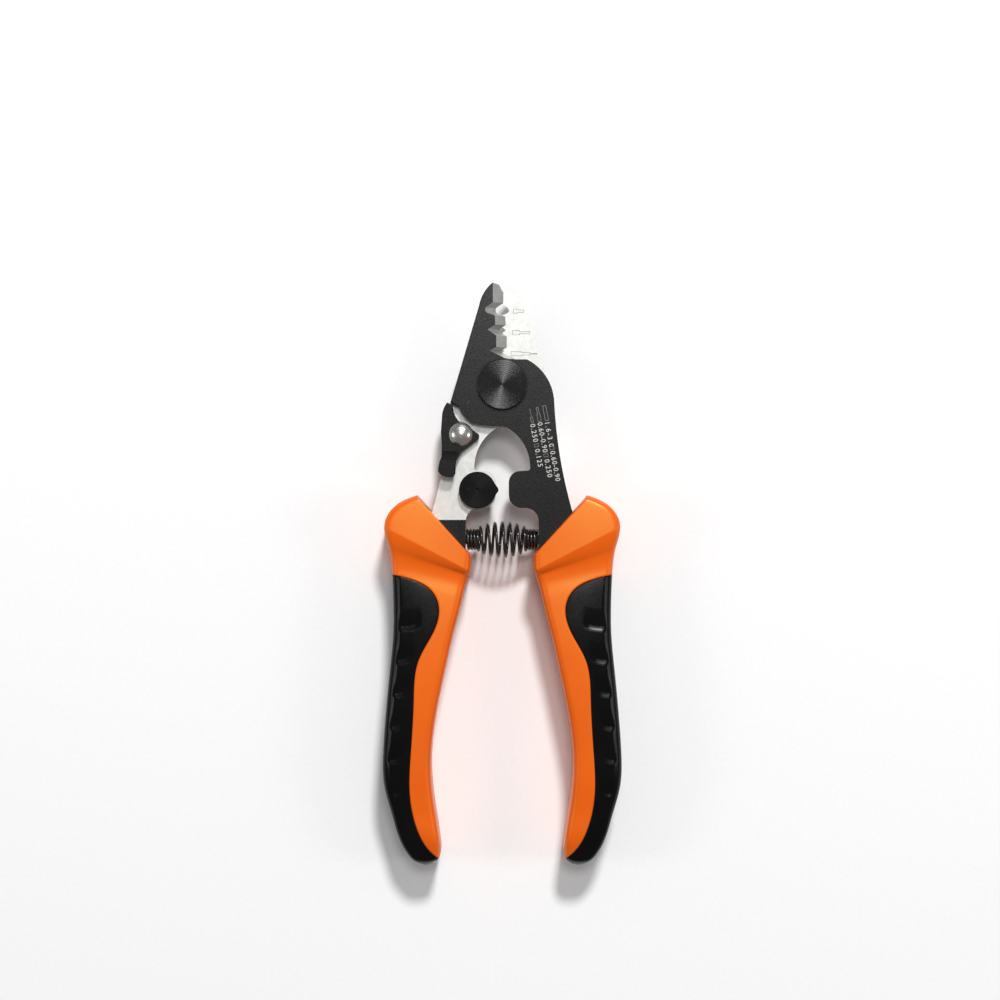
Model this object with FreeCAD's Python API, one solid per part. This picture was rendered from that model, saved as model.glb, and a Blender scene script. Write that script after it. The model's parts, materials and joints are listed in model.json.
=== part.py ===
import FreeCAD, Part

import math
import os

from FreeCAD import Vector

# A fibre stripper with two lapped jaws, seen from its front with the blades up.
# Everything is drawn about the pivot, with z = 0 between the two lapped jaws.
# The finished pieces then move so that the tool lies on z = 0 with its box centred in plan.

# Overall reach
TIP_REACH = 28.8  # blade tips above the pivot
TAIL_REACH = 135.6  # handle tails below the pivot
HANDLE_HALF = 9.5  # half the thickness of the handles, on which the tool lies

# Jaws
LAP = 2.75  # thickness of one jaw where they lap; a tang is twice as thick
LAP_PLAY = 0.04  # gap between the two lapped faces
EDGE_BREAK = 0.25  # small chamfer round the stamped plates
SHOULDER_DROP = 38.2  # the lap ends this far below the pivot, where the handles start
BEVEL_RUN = 2.97  # sideways run of the ground bevel through one jaw
TIP_X = 2.7  # tip apex beside the centre line
BLADE_BACK_X = 6.5
BLADE_POINT = 6.4  # height of the rounded point above the blade's straight back
HEEL = (-14.6, -5.0)  # corner that the lock holds
HEEL_WIDE = 2.5
HEEL_SLOPE = 30.5  # degrees, steep enough for the lock to swing out from under it
CHEEK_TOP = 7.1  # flat top of the cheek beside the blades
CHEEK_X = 7.0
CHEEK_SIDE = (14.7, -5.2)
SHOULDER_X = 19.6
WINDOW_TOP = 11.8  # top of the window below the pivot
WINDOW_X = 7.9
LOBE_X = 1.87  # face of the stop lobe beside the centre line
LOBE_BOTTOM = SHOULDER_DROP - 3.35
LOBE_TOP = LOBE_BOTTOM - 10.45
TANG_END = TAIL_REACH - 35.6
TANG_HOLE_R = 1.8  # holes that key the tang into the moulded handle

# Stripping notches: height above the pivot, spaced along the blade, and depth past the centre line
BLADE = TIP_REACH - CHEEK_TOP
NOTCH_1 = CHEEK_TOP + 0.6475 * BLADE
NOTCH_1_DEEP = 1.85
NOTCH_1_RADIUS = 1.0
NOTCH_2 = CHEEK_TOP + 0.387 * BLADE
NOTCH_2_DEEP = 0.98
NOTCH_3 = CHEEK_TOP + 0.115 * BLADE
NOTCH_3_DEEP = 0.65
TOOTH_1 = 0.35  # reach of the tooth above each notch past the centre line
TOOTH_2 = 1.0
TOOTH_3 = 1.3

# Pivot post, washer and screw
POST_HEAD_R = 7.1
POST_HEAD_T = 1.1
POST_R = 4.0
POST_BORE_R = 2.4
RUNNING_FIT = 0.04
WASHER_T = 0.3
WASHER_RIM = 0.35  # the washer shows this far outside the post's head
SCREW_HEAD_R = 5.4
SCREW_HEAD_T = 1.7
SCREW_R = 2.35
SOCKET_AF = 3.0

# Lock lever and its rivet
RIVET = (-11.67, -14.05)
RIVET_HEAD_R = 3.35
RIVET_DOME = 1.5
RIVET_R = 1.6
RIVET_TAIL_R = 2.6
RIVET_TAIL_T = 0.7
LOCK_WASHER_R = 3.4
LOCK_WASHER_T = 0.3
LEVER_T = 2.2
LEVER_GAP = 0.3
TAB_T = 1.9

# Stop
STOP = (-7.0, 5.05 - LOBE_BOTTOM)
STOP_R = 5.2
STOP_NOSE = 0.75  # the nose stands out this far past the disc
STOP_SCREW_R = 1.5
STOP_SCREW_HEAD_R = 3.0
STOP_SCREW_HEAD_T = 1.3

# Barrel spring between two tongues
SPRING_DROP = SHOULDER_DROP + 5.6
SPRING_SEAT = 10.35  # seat face beside the centre line
WIRE_R = 0.43
COIL_GAP = 0.06  # between the close coils at each end
SPRING_END_R = 2.6  # mean radius of the small end coils
SPRING_BELLY_R = 4.8
END_TURNS = 4.0
BELLY_TURNS = 6.0
TONGUE_REACH = 3.2
TONGUE_HALF = 1.3

# Handles
GUARD_OUT = 33.0  # reach of the guard from the centre line
GUARD_LENGTH = 22.8  # from the shoulder down to the waist under the guard
PAD_T = 2.2  # soft grip over the hard core
LIP_FIRST = 8.6  # first scoop's lip below the waist
LIP_LAST = 19.5  # last scoop's lip above the tail
SCOOP_COUNT = 6
SCOOP_R = 3.3
SCOOP_IN = 3.1  # scoop's centre in from the outer edge
SCOOP_DEEP = 0.8


def outline(start, steps, z=0.0):
    """A closed flat face. A step is a point, or two points for an arc through the first to the second."""
    here = Vector(start[0], start[1], z)
    first = here
    edges = []
    for step in steps:
        if isinstance(step[0], tuple):
            through = Vector(step[0][0], step[0][1], z)
            end = Vector(step[1][0], step[1][1], z)
            edges.append(Part.Arc(here, through, end).toShape())
        else:
            end = Vector(step[0], step[1], z)
            edges.append(Part.makeLine(here, end))
        here = end
    if here.distanceToPoint(first) > 1e-6:
        edges.append(Part.makeLine(here, first))
    return Part.Face(Part.Wire(edges))


def turned_over(shape):
    """The same piece turned over about the long axis of the tool."""
    return shape.rotated(Vector(0, 0, 0), Vector(0, 1, 0), 180)


def disc(x, y, z, radius, height):
    return Part.makeCylinder(radius, height, Vector(x, y, z), Vector(0, 0, 1))


def hexagon(x, y, z, across_flats, height):
    radius = across_flats / math.sqrt(3)
    corners = [
        Vector(x + radius * math.cos(math.radians(60 * i)), y + radius * math.sin(math.radians(60 * i)), z)
        for i in range(7)
    ]
    return Part.Face(Part.makePolygon(corners)).extrude(Vector(0, 0, height))


def across(share):
    """A place across the right handle, from the spring's seat (0) to the guard's reach (1)."""
    return SPRING_SEAT + share * (GUARD_OUT - SPRING_SEAT)


def below(drop):
    """Height of a place this far below the shoulder."""
    return -SHOULDER_DROP - drop


def down(share):
    """A height along the grip, from the waist under the guard (0) to the tail (1)."""
    waist = SHOULDER_DROP + GUARD_LENGTH
    return -waist - share * (TAIL_REACH - waist)


def along_tang(share):
    """A height along the tang, from the shoulder (0) to its end (1)."""
    return -SHOULDER_DROP - share * (TANG_END - SHOULDER_DROP)


# Jaws


def heel_root():
    """Lower right end of the sloping underside of the heel."""
    drop = HEEL_WIDE * math.tan(math.radians(HEEL_SLOPE))
    return (HEEL[0] + HEEL_WIDE, HEEL[1] - drop)


def jaw_outline(z):
    """Plan of the front jaw: blade up, tang down to the right."""
    root = heel_root()
    return outline(
        (-TIP_X, TIP_REACH),
        [
            (-0.9, TIP_REACH - 0.5),
            (0.2, TIP_REACH - 2.5),
            (3.5, TIP_REACH - 2.5),
            (3.5, CHEEK_TOP),
            (CHEEK_X, CHEEK_TOP),
            ((12.1, 2.7), CHEEK_SIDE),
            ((16.4, 17.4 - SHOULDER_DROP), (SHOULDER_X, 3.1 - SHOULDER_DROP)),
            (across(0.647), below(13.8)),
            (across(0.753), along_tang(0.6)),
            (across(0.863), 4.0 - TANG_END),
            ((across(0.709), -TANG_END), (across(0.554), 3.5 - TANG_END)),
            (across(0.4), along_tang(0.6)),
            (across(0.188), below(17.3)),
            (SPRING_SEAT, below(10.4)),
            (SPRING_SEAT, below(0.7)),
            ((9.4, -LOBE_BOTTOM - 1.3), (6.9, -LOBE_BOTTOM)),
            (LOBE_X + 3.6, -LOBE_BOTTOM),
            ((LOBE_X + 1.05, -LOBE_BOTTOM + 1.05), (LOBE_X, -LOBE_BOTTOM + 3.6)),
            (LOBE_X, -LOBE_TOP - 3.2),
            ((LOBE_X + 0.95, -LOBE_TOP - 0.95), (LOBE_X + 3.2, -LOBE_TOP)),
            (WINDOW_X - 0.7, -LOBE_TOP + 0.1),
            ((WINDOW_X - 0.1, -LOBE_TOP + 0.4), (WINDOW_X, -LOBE_TOP + 1.0)),
            ((6.0, -WINDOW_TOP - 4.8), (1.2, -WINDOW_TOP - 0.2)),
            (-1.2, -WINDOW_TOP + 0.1),
            ((-4.8, -WINDOW_TOP + 0.25), (-8.2, -WINDOW_TOP + 0.9)),
            ((-10.55, -WINDOW_TOP + 2.8), root),
            HEEL,
            (-BLADE_BACK_X, TIP_REACH - BLADE_POINT),
            ((1.3 - BLADE_BACK_X, TIP_REACH - 2.9), (-TIP_X, TIP_REACH)),
        ],
        z,
    )


def blade_cut():
    """Everything past the cutting edge, sheared through the jaw so that each tooth has a ground bevel."""
    margin = 1.0
    run = BEVEL_RUN / LAP
    top = TIP_REACH + 4.0
    far = 40.0
    edge = outline(
        (TOOTH_1, top),
        [
            (TOOTH_1, NOTCH_1 + 2.05),
            (NOTCH_1_RADIUS * 0.65 - NOTCH_1_DEEP, NOTCH_1 + NOTCH_1_RADIUS),
            (
                (-NOTCH_1_DEEP, NOTCH_1),
                (NOTCH_1_RADIUS * 0.65 - NOTCH_1_DEEP, NOTCH_1 - NOTCH_1_RADIUS),
            ),
            (TOOTH_2 - 0.1, NOTCH_1 - 1.7),
            (TOOTH_2, NOTCH_2 + 1.45),
            (-NOTCH_2_DEEP, NOTCH_2 + 0.1),
            (-NOTCH_2_DEEP, NOTCH_2 - 0.1),
            (TOOTH_3, NOTCH_2 - 1.7),
            (TOOTH_3, NOTCH_3 + 1.0),
            (-NOTCH_3_DEEP, NOTCH_3),
            (CHEEK_X - 2.8, CHEEK_TOP + 0.1),
            (far, CHEEK_TOP + 0.1),
            (far, top),
        ],
    )
    edge.translate(Vector(run * margin, 0, -margin))
    deep = LAP + 2 * margin
    return edge.extrude(Vector(-run * deep, 0, deep))


def spring_tongue():
    """Square peg that the spring's end coils sit on, with a tapered nose."""
    reach = TONGUE_REACH + 0.5
    half = TONGUE_HALF
    peg = Part.makeBox(reach, 2 * half, 2 * half, Vector(SPRING_SEAT + 0.5 - reach, -SPRING_DROP - half, -half))
    nose = [e for e in peg.Edges if max(v.X for v in e.Vertexes) < SPRING_SEAT - TONGUE_REACH + 0.01]
    return peg.makeChamfer(0.5, nose)


def back_edges(plate):
    """Edges of the face along the heel and the blade's back and point."""
    boxes = [(edge, edge.BoundBox) for edge in plate.Edges]
    low = HEEL[1] - HEEL_WIDE
    return [edge for edge, box in boxes if box.ZMin > LAP - 0.01 and box.XMax < 0 and box.YMin > low]


def jaw():
    """Front jaw: lapped head, stop lobe, spring tongue and the tang that runs down inside a handle."""
    plate = jaw_outline(-LAP).extrude(Vector(0, 0, 2 * LAP))
    plate = plate.makeChamfer(EDGE_BREAK, back_edges(plate))
    size = 100.0
    lap = Part.makeBox(size, size, size, Vector(-size / 2, -SHOULDER_DROP, LAP_PLAY / 2 - size))
    plate = plate.cut(lap).cut(blade_cut())
    plate = plate.fuse(spring_tongue())
    plate = plate.cut(disc(0, 0, -size / 2, POST_R + RUNNING_FIT, size))
    for share, place_across in ((0.385, 0.444), (0.741, 0.611)):
        hole = disc(across(place_across), along_tang(share), -size / 2, TANG_HOLE_R, size)
        plate = plate.cut(hole)
    return plate.removeSplitter()


def front_jaw():
    return jaw()


def rear_jaw():
    """The same blank turned over, drilled for the lock's rivet and the stop's screw."""
    size = 100.0
    plate = turned_over(jaw())
    plate = plate.cut(disc(RIVET[0], RIVET[1], -size / 2, RIVET_R + 0.01, size))
    return plate.cut(disc(STOP[0], STOP[1], -size / 2, STOP_SCREW_R + 0.01, size))


# Pivot


def pivot_post():
    """Flat round head with a chamfered rim, on a bored barrel through both jaws."""
    head_z = LAP + WASHER_T
    head = disc(0, 0, head_z, POST_HEAD_R, POST_HEAD_T)
    head = head.makeChamfer(0.25, [e for e in head.Edges if e.BoundBox.ZMin > head_z + POST_HEAD_T - 0.01])
    barrel = disc(0, 0, 0.1 - LAP, POST_R, LAP + head_z)
    return head.fuse(barrel).cut(disc(0, 0, -LAP, POST_BORE_R, 2 * LAP - 0.6)).removeSplitter()


def pivot_washer():
    radius = POST_HEAD_R + WASHER_RIM
    ring = disc(0, 0, LAP + 0.01, radius, WASHER_T - 0.02)
    return ring.cut(disc(0, 0, LAP - 1, POST_R + RUNNING_FIT, 3))


def pivot_screw():
    """Round-headed screw with a hexagon socket, from the back into the post."""
    head = disc(0, 0, -LAP - SCREW_HEAD_T, SCREW_HEAD_R, SCREW_HEAD_T)
    head = head.makeFillet(0.8, [e for e in head.Edges if e.BoundBox.ZMax < 0.01 - LAP - SCREW_HEAD_T])
    shank = disc(0, 0, -LAP, SCREW_R, 2 * LAP - 0.8)
    socket = hexagon(0, 0, -LAP - SCREW_HEAD_T - 1, SOCKET_AF, 1 + SCREW_HEAD_T * 0.8)
    return head.fuse(shank).cut(socket).removeSplitter()


# Lock lever


def lever_bottom():
    return LAP_PLAY + LOCK_WASHER_T


def lever_plan():
    """Plan of the lever: hook under the heel, round boss at the rivet, nose to the right, thumb tab below."""
    slope = math.tan(math.radians(HEEL_SLOPE))
    drop = LEVER_GAP / math.cos(math.radians(HEEL_SLOPE))
    hook_left = (HEEL[0] - 0.9, HEEL[1] - drop + 0.55 * slope)
    hook_right = (HEEL[0] + 0.6, HEEL[1] - drop - 0.6 * slope)
    x, y = RIVET
    return outline(
        hook_right,
        [
            ((x - 1.85, y + 5.8), (x - 0.6, y + 3.75)),
            ((x + 1.8, y + 2.65), (x + 3.3, y + 1.2)),
            (x + 4.6, y + 0.35),
            ((x + 5.15, y - 0.4), (x + 4.95, y - 1.3)),
            (x + 1.5, y - 4.0),
            ((x - 0.5, y - 6.0), (x - 1.35, y - 8.3)),
            (x - 1.5, y - 10.8),
            ((x - 2.1, y - 11.9), (x - 3.3, y - 12.1)),
            ((x - 5.2, y - 11.7), (x - 6.4, y - 10.5)),
            ((x - 6.1, y - 8.3), (x - 5.45, y - 6.4)),
            (x - 5.4, y - 3.6),
            (x - 5.65, y + 0.7),
            (x - 5.35, y + 4.9),
            ((x - 4.9, y + 7.2), hook_left),
        ],
    )


def lever_side():
    """Side of the lever: flat beside the front jaw, stepped up over the stop at the thumb tab."""
    low = lever_bottom()
    high = LAP + LEVER_GAP
    y = RIVET[1]
    points = [
        (y + 15, low),
        (y - 4.2, low),
        (y - 6.8, high),
        (y - 20, high),
        (y - 20, high + TAB_T),
        (y - 7.4, high + TAB_T),
        (y - 4.8, low + LEVER_T),
        (y + 15, low + LEVER_T),
        (y + 15, low),
    ]
    wide = 40.0
    face = Part.Face(Part.makePolygon([Vector(RIVET[0] - wide / 2, py, pz) for py, pz in points]))
    return face.extrude(Vector(wide, 0, 0))


def lock_lever():
    size = 20.0
    blank = lever_plan()
    blank.translate(Vector(0, 0, -size / 2))
    lever = blank.extrude(Vector(0, 0, size)).common(lever_side())
    lever = lever.cut(disc(RIVET[0], RIVET[1], -size / 2, RIVET_R + RUNNING_FIT, size))
    return lever.removeSplitter()


def lock_washer():
    ring = disc(RIVET[0], RIVET[1], LAP_PLAY / 2 + 0.005, LOCK_WASHER_R, LOCK_WASHER_T)
    return ring.cut(disc(RIVET[0], RIVET[1], -1, RIVET_R + RUNNING_FIT, 3))


def lock_rivet():
    """Domed head in front, shank through lever and rear jaw, low closed head at the back."""
    x, y = RIVET
    head_z = lever_bottom() + LEVER_T + 0.03
    rise = RIVET_DOME
    ball = (RIVET_HEAD_R**2 + rise**2) / (2 * rise)
    dome = Part.makeSphere(ball, Vector(x, y, head_z + rise - ball))
    head = dome.common(disc(x, y, head_z, RIVET_HEAD_R + 1, rise + 1))
    shank = disc(x, y, -LAP - 0.2, RIVET_R, LAP + 0.2 + head_z)
    tail_z = -LAP - RIVET_TAIL_T
    tail = disc(x, y, tail_z, RIVET_TAIL_R, RIVET_TAIL_T)
    tail = tail.makeFillet(0.5, [e for e in tail.Edges if e.BoundBox.ZMax < tail_z + 0.01])
    return head.fuse([shank, tail]).removeSplitter()


# Stop


def stop_disc():
    """Turned disc with a nose towards the front jaw's lobe and a small centre dimple."""
    x, y = STOP
    low = LAP_PLAY / 2 + 0.005
    tall = LAP - low
    nose_x = x + STOP_R + STOP_NOSE
    nose = outline(
        (x, y - STOP_R + 0.01),
        [
            (x + 3.1, y - STOP_R + 1.05),
            (nose_x - 0.15, y - 0.5),
            ((nose_x, y + 0.05), (nose_x - 0.15, y + 0.6)),
            (x + 3.6, y + STOP_R - 1.45),
            (x, y + STOP_R - 0.01),
        ],
        low,
    ).extrude(Vector(0, 0, tall))
    body = disc(x, y, low, STOP_R, tall)
    body = body.fuse(nose).removeSplitter()
    rim = [e for e in body.Edges if e.BoundBox.ZMin > LAP - 0.01]
    body = body.makeChamfer(0.2, rim)
    body = body.cut(Part.makeCone(0.0, 0.9, 0.5, Vector(x, y, LAP - 0.4)))
    return body.cut(disc(x, y, low - 1, STOP_SCREW_R + 0.01, 1 + tall * 0.75))


def stop_screw():
    """Socket screw from the back that holds the stop disc to the rear jaw."""
    x, y = STOP
    head = disc(x, y, -LAP - STOP_SCREW_HEAD_T, STOP_SCREW_HEAD_R, STOP_SCREW_HEAD_T)
    low = -LAP - STOP_SCREW_HEAD_T
    head = head.makeFillet(0.5, [e for e in head.Edges if e.BoundBox.ZMax < low + 0.01])
    shank = disc(x, y, -LAP, STOP_SCREW_R, LAP + LAP * 0.7)
    socket = hexagon(x, y, low - 1, 2.0, 1 + STOP_SCREW_HEAD_T * 0.75)
    return head.fuse(shank).cut(socket).removeSplitter()


# Barrel spring


def spring_point(turn):
    """Centre of the wire after so many turns from the left end."""
    close_pitch = 2 * WIRE_R + COIL_GAP
    length = 2 * (SPRING_SEAT - 0.05 - WIRE_R)
    close = END_TURNS * close_pitch
    total = 2 * END_TURNS + BELLY_TURNS
    open_pitch = (length - 2 * close) / BELLY_TURNS
    if turn < END_TURNS:
        along = turn * close_pitch
    elif turn > total - END_TURNS:
        along = length - (total - turn) * close_pitch
    else:
        along = close + (turn - END_TURNS) * open_pitch
    share = min(1.0, max(0.0, (turn - END_TURNS + 0.8) / (BELLY_TURNS + 1.6)))
    swell = math.sin(math.pi * share) ** 0.8
    radius = SPRING_END_R + (SPRING_BELLY_R - SPRING_END_R) * swell
    angle = 2 * math.pi * turn
    return Vector(along - length / 2, radius * math.cos(angle) - SPRING_DROP, radius * math.sin(angle))


def return_spring():
    steps = 12
    total = 2 * END_TURNS + BELLY_TURNS
    points = [spring_point(i / steps) for i in range(int(round(total * steps)) + 1)]
    curve = Part.BSplineCurve()
    curve.interpolate(points)
    path = Part.Wire([curve.toShape()])
    start = points[0]
    along = curve.tangent(curve.FirstParameter)[0]
    ring = Part.Wire([Part.makeCircle(WIRE_R, start, along)])
    return path.makePipeShell([ring], True, True)


# Handles


def handle_stations(inset):
    """Outer end, inner end, half thickness and corner radius of the cross-sections down the right handle."""
    tail = -TAIL_REACH
    rows = [
        ((0.603, below(-6.9)), (-0.066, below(10.0)), -0.9, 2.4),
        ((0.85, below(-4.3)), (-0.068, below(12.2)), 0.1, 2.8),
        ((1.0, below(1.0)), (-0.055, below(14.8)), 0.1, 3.0),
        ((0.943, below(8.4)), (-0.029, below(16.4)), -1.6, 3.0),
        ((0.907, below(15.3)), (0.011, below(19.2)), -1.5, 3.0),
        ((0.894, below(22.8)), (0.073, below(25.0)), -0.9, 3.2),
        ((0.894, down(0.114)), (0.157, down(0.129)), -0.2, 3.4),
        ((0.934, down(0.255)), (0.254, down(0.26)), 0.2, 3.4),
        ((0.982, down(0.409)), (0.355, down(0.409)), 0.3, 3.4),
        ((1.018, down(0.563)), (0.422, down(0.563)), 0.2, 3.4),
        ((1.004, down(0.697)), (0.417, down(0.692)), -0.2, 3.4),
        ((0.903, down(0.811)), (0.369, down(0.804)), -0.8, 3.4),
        ((0.806, tail + 7.2), (0.316, tail + 6.6), -1.4, 3.2),
        ((0.7, tail + 2.9), (0.316, tail + 3.0), -2.7, 2.8),
        ((0.585, tail + 0.6), (0.378, tail + 0.9), -4.7, 1.6),
        ((0.532, tail), (0.439, tail + 0.1), -6.6, 0.7),
    ]
    stations = []
    for outer, inner, swell, corner in rows:
        a = Vector(across(outer[0]), outer[1], 0)
        b = Vector(across(inner[0]), inner[1], 0)
        side = (b - a).normalize()
        thin = HANDLE_HALF + swell - inset
        wide = (b - a).Length - 2 * inset
        radius = max(0.35, min(corner - 0.6 * inset, 0.45 * wide, 0.9 * thin))
        if thin > radius + 0.1 and wide > 2 * radius + 0.2:
            stations.append((a + side * inset, b - side * inset, thin, radius))
    return stations


def section_wire(a, b, half, radius):
    """Rounded rectangle that stands on the line from a to b."""
    side = (b - a).normalize()
    up = Vector(0, 0, 1)
    bow = radius * (1 - math.sqrt(0.5))
    edges = []
    corners = [(a, side, -1), (b, side * -1, -1), (b, side * -1, 1), (a, side, 1)]
    arcs = []
    for point, inward, level in corners:
        base = point + up * (level * half)
        along = base + inward * radius
        upright = base - up * (level * radius)
        middle = base + inward * bow - up * (level * bow)
        arcs.append((along, middle, upright))
    loops = [
        (arcs[0][2], arcs[0][1], arcs[0][0]),
        (arcs[1][0], arcs[1][1], arcs[1][2]),
        (arcs[2][2], arcs[2][1], arcs[2][0]),
        (arcs[3][0], arcs[3][1], arcs[3][2]),
    ]
    for i, (start, middle, end) in enumerate(loops):
        edges.append(Part.Arc(start, middle, end).toShape())
        edges.append(Part.makeLine(end, loops[(i + 1) % 4][0]))
    return Part.Wire(edges)


def handle_blank(inset):
    wires = [section_wire(*station) for station in handle_stations(inset)]
    solid = Part.makeLoft(wires, True, False)
    slab_half = HANDLE_HALF - inset
    long = 2 * TAIL_REACH
    wide = 4 * GUARD_OUT
    slab = Part.makeBox(wide, long, 2 * slab_half, Vector(-wide / 2, -long, -slab_half))
    return solid.common(slab)


def grip_region():
    """Column through the handle over the part that the soft grip covers."""
    low = -2 * HANDLE_HALF
    edge = [
        (across(1.0) + 3.0, below(14.0)),
        (across(0.907), below(15.4)),
        (across(0.682), below(16.6)),
        (across(0.408), below(20.2)),
        (across(0.329), down(0.021)),
        (across(0.395), down(0.115)),
        (across(0.576), down(0.22)),
        (across(0.638), down(0.375)),
        (across(0.678), down(0.59)),
        (across(0.691), down(0.697)),
        (across(0.589), down(0.862)),
        (across(0.408), down(0.957)),
        (across(0.276), 1.0 - TAIL_REACH),
    ]
    curve = Part.BSplineCurve()
    curve.interpolate([Vector(x, y, low) for x, y in edge])
    far = across(2.0)
    foot = -TAIL_REACH - PAD_T
    corners = [edge[-1], (edge[-1][0], foot), (far, foot), (far, edge[0][1]), edge[0]]
    edges = [curve.toShape()]
    for start, end in zip(corners, corners[1:]):
        edges.append(Part.makeLine(Vector(start[0], start[1], low), Vector(end[0], end[1], low)))
    return Part.Face(Part.Wire(edges)).extrude(Vector(0, 0, -2 * low))


def edge_at(height):
    """Outer edge and half thickness of the handle at a height."""
    stations = handle_stations(0.0)
    for (a, _, half, _), (b, _, next_half, _) in zip(stations, stations[1:]):
        if b.y <= height <= a.y:
            share = (a.y - height) / (a.y - b.y)
            return a.x + share * (b.x - a.x), min(HANDLE_HALF, half + share * (next_half - half))


def scoops():
    """Round scoops down both faces of the grip, each with a floor that slopes down to a lip on its tail side."""
    first = down(0.0) - LIP_FIRST
    last = LIP_LAST - TAIL_REACH
    pitch = (last - first) / (SCOOP_COUNT - 1)
    tilt = math.atan2(SCOOP_DEEP, 2 * SCOOP_R)
    cutters = []
    for i in range(SCOOP_COUNT):
        lip = first + i * pitch
        edge, half = edge_at(lip)
        for face in (1, -1):
            middle = Vector(edge - SCOOP_IN, lip + SCOOP_R, face * (half - SCOOP_DEEP / 2))
            out = Vector(0, -math.sin(tilt), face * math.cos(tilt))
            cutters.append(Part.makeCylinder(SCOOP_R, HANDLE_HALF, middle, out))
    return cutters


def right_handle_pair():
    """Hard core moulded round the tang, and the scooped soft grip over its outer side."""
    blank = handle_blank(0.0)
    grip = blank.common(grip_region()).cut(handle_blank(PAD_T))
    core = blank.cut(grip).cut(jaw())
    return core, grip.cut(scoops())


def place(shape):
    """From the pivot to the frame of the whole tool, which lies on z = 0."""
    return shape.translated(Vector(0, (TAIL_REACH - TIP_REACH) / 2, HANDLE_HALF))


def main():
    right_core, right_grip = right_handle_pair()
    pieces = {
        "front_jaw": front_jaw(),
        "rear_jaw": rear_jaw(),
        "pivot_post": pivot_post(),
        "pivot_washer": pivot_washer(),
        "pivot_screw": pivot_screw(),
        "lock_lever": lock_lever(),
        "lock_washer": lock_washer(),
        "lock_rivet": lock_rivet(),
        "stop_disc": stop_disc(),
        "stop_screw": stop_screw(),
        "return_spring": return_spring(),
        "right_handle": right_core,
        "right_grip": right_grip,
        "left_handle": turned_over(right_core),
        "left_grip": turned_over(right_grip),
    }
    os.makedirs("parts", exist_ok=True)
    for name, shape in pieces.items():
        solid = place(shape)
        print(name, solid.isValid(), len(solid.Solids), round(solid.Volume, 1))
        solid.exportStep(f"parts/{name}.step")


main()
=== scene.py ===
import json
import math

import bmesh
import bpy
import numpy as np
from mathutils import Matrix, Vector


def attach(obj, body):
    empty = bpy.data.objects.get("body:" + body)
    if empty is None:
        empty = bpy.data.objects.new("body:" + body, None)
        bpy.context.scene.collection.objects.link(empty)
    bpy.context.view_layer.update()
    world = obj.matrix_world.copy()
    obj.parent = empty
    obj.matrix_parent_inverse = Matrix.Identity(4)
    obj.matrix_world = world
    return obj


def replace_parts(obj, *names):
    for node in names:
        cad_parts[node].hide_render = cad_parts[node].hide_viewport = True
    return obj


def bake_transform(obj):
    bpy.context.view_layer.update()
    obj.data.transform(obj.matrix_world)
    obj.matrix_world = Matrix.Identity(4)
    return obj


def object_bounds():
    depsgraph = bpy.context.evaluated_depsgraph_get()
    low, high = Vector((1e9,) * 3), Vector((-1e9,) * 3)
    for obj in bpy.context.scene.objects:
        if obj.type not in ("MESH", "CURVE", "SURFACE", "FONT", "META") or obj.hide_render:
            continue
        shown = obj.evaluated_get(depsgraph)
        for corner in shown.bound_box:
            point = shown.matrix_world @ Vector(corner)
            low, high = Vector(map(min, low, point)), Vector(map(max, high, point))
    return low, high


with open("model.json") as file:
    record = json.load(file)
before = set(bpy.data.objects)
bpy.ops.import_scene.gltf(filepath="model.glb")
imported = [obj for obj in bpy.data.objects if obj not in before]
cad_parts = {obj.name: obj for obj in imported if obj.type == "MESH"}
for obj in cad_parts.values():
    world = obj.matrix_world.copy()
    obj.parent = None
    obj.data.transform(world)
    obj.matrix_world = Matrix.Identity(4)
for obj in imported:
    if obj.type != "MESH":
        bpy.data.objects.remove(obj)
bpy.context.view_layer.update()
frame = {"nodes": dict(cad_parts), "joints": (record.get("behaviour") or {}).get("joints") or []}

# Every shape is worked out in millimetres about the pivot, with z = 0 between the lapped jaws.
MM = 0.001
PIVOT = Vector(next(j["pos_m"] for j in frame["joints"] if j["name"] == "jaw_pivot"))
LOCK = Vector(next(j["pos_m"] for j in frame["joints"] if j["name"] == "lock_turn"))

FRONT = "front_half"
REAR = "rear_half"
LEVER = "lock"

# Driving sizes, as on the solids
TAIL_REACH = (PIVOT.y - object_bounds()[0].y) / MM  # handle tails below the pivot
HANDLE_HALF = PIVOT.z / MM  # half the thickness of the handles
GUARD_OUT = 33.0  # reach of the guard from the centre line
GUARD_LENGTH = 22.8  # from the shoulder down to the waist under the guard
SHOULDER_DROP = 38.2  # the lap ends this far below the pivot, where the handles start
CHEEK_TOP = 7.1  # flat top of the cheek beside the blades
LAP = 2.75  # thickness of one jaw where they lap
LAP_PLAY = 0.04  # gap between the two lapped faces
STOP = (-7.0, -29.8)  # axis of the stop disc
SPRING_SEAT = 10.35  # seat face beside the centre line
SPRING_DROP = SHOULDER_DROP + 5.6
WIRE_R = 0.43
COIL_GAP = 0.06  # between the close coils at each end
SPRING_END_R = 2.6  # mean radius of the small end coils
SPRING_BELLY_R = 4.8
END_TURNS = 4.0
BELLY_TURNS = 6.0
TAPER_TURNS = 0.8  # of each end's turns that already widen
BELLY_FULL = 0.8  # less than 1 makes the belly fuller than half a sine wave
SEAT_GAP = 0.05


def to_frame(points):
    """Millimetres about the pivot to metres in the tool's frame."""
    return np.asarray(points, float) * MM + np.array(PIVOT)


# Materials


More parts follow.
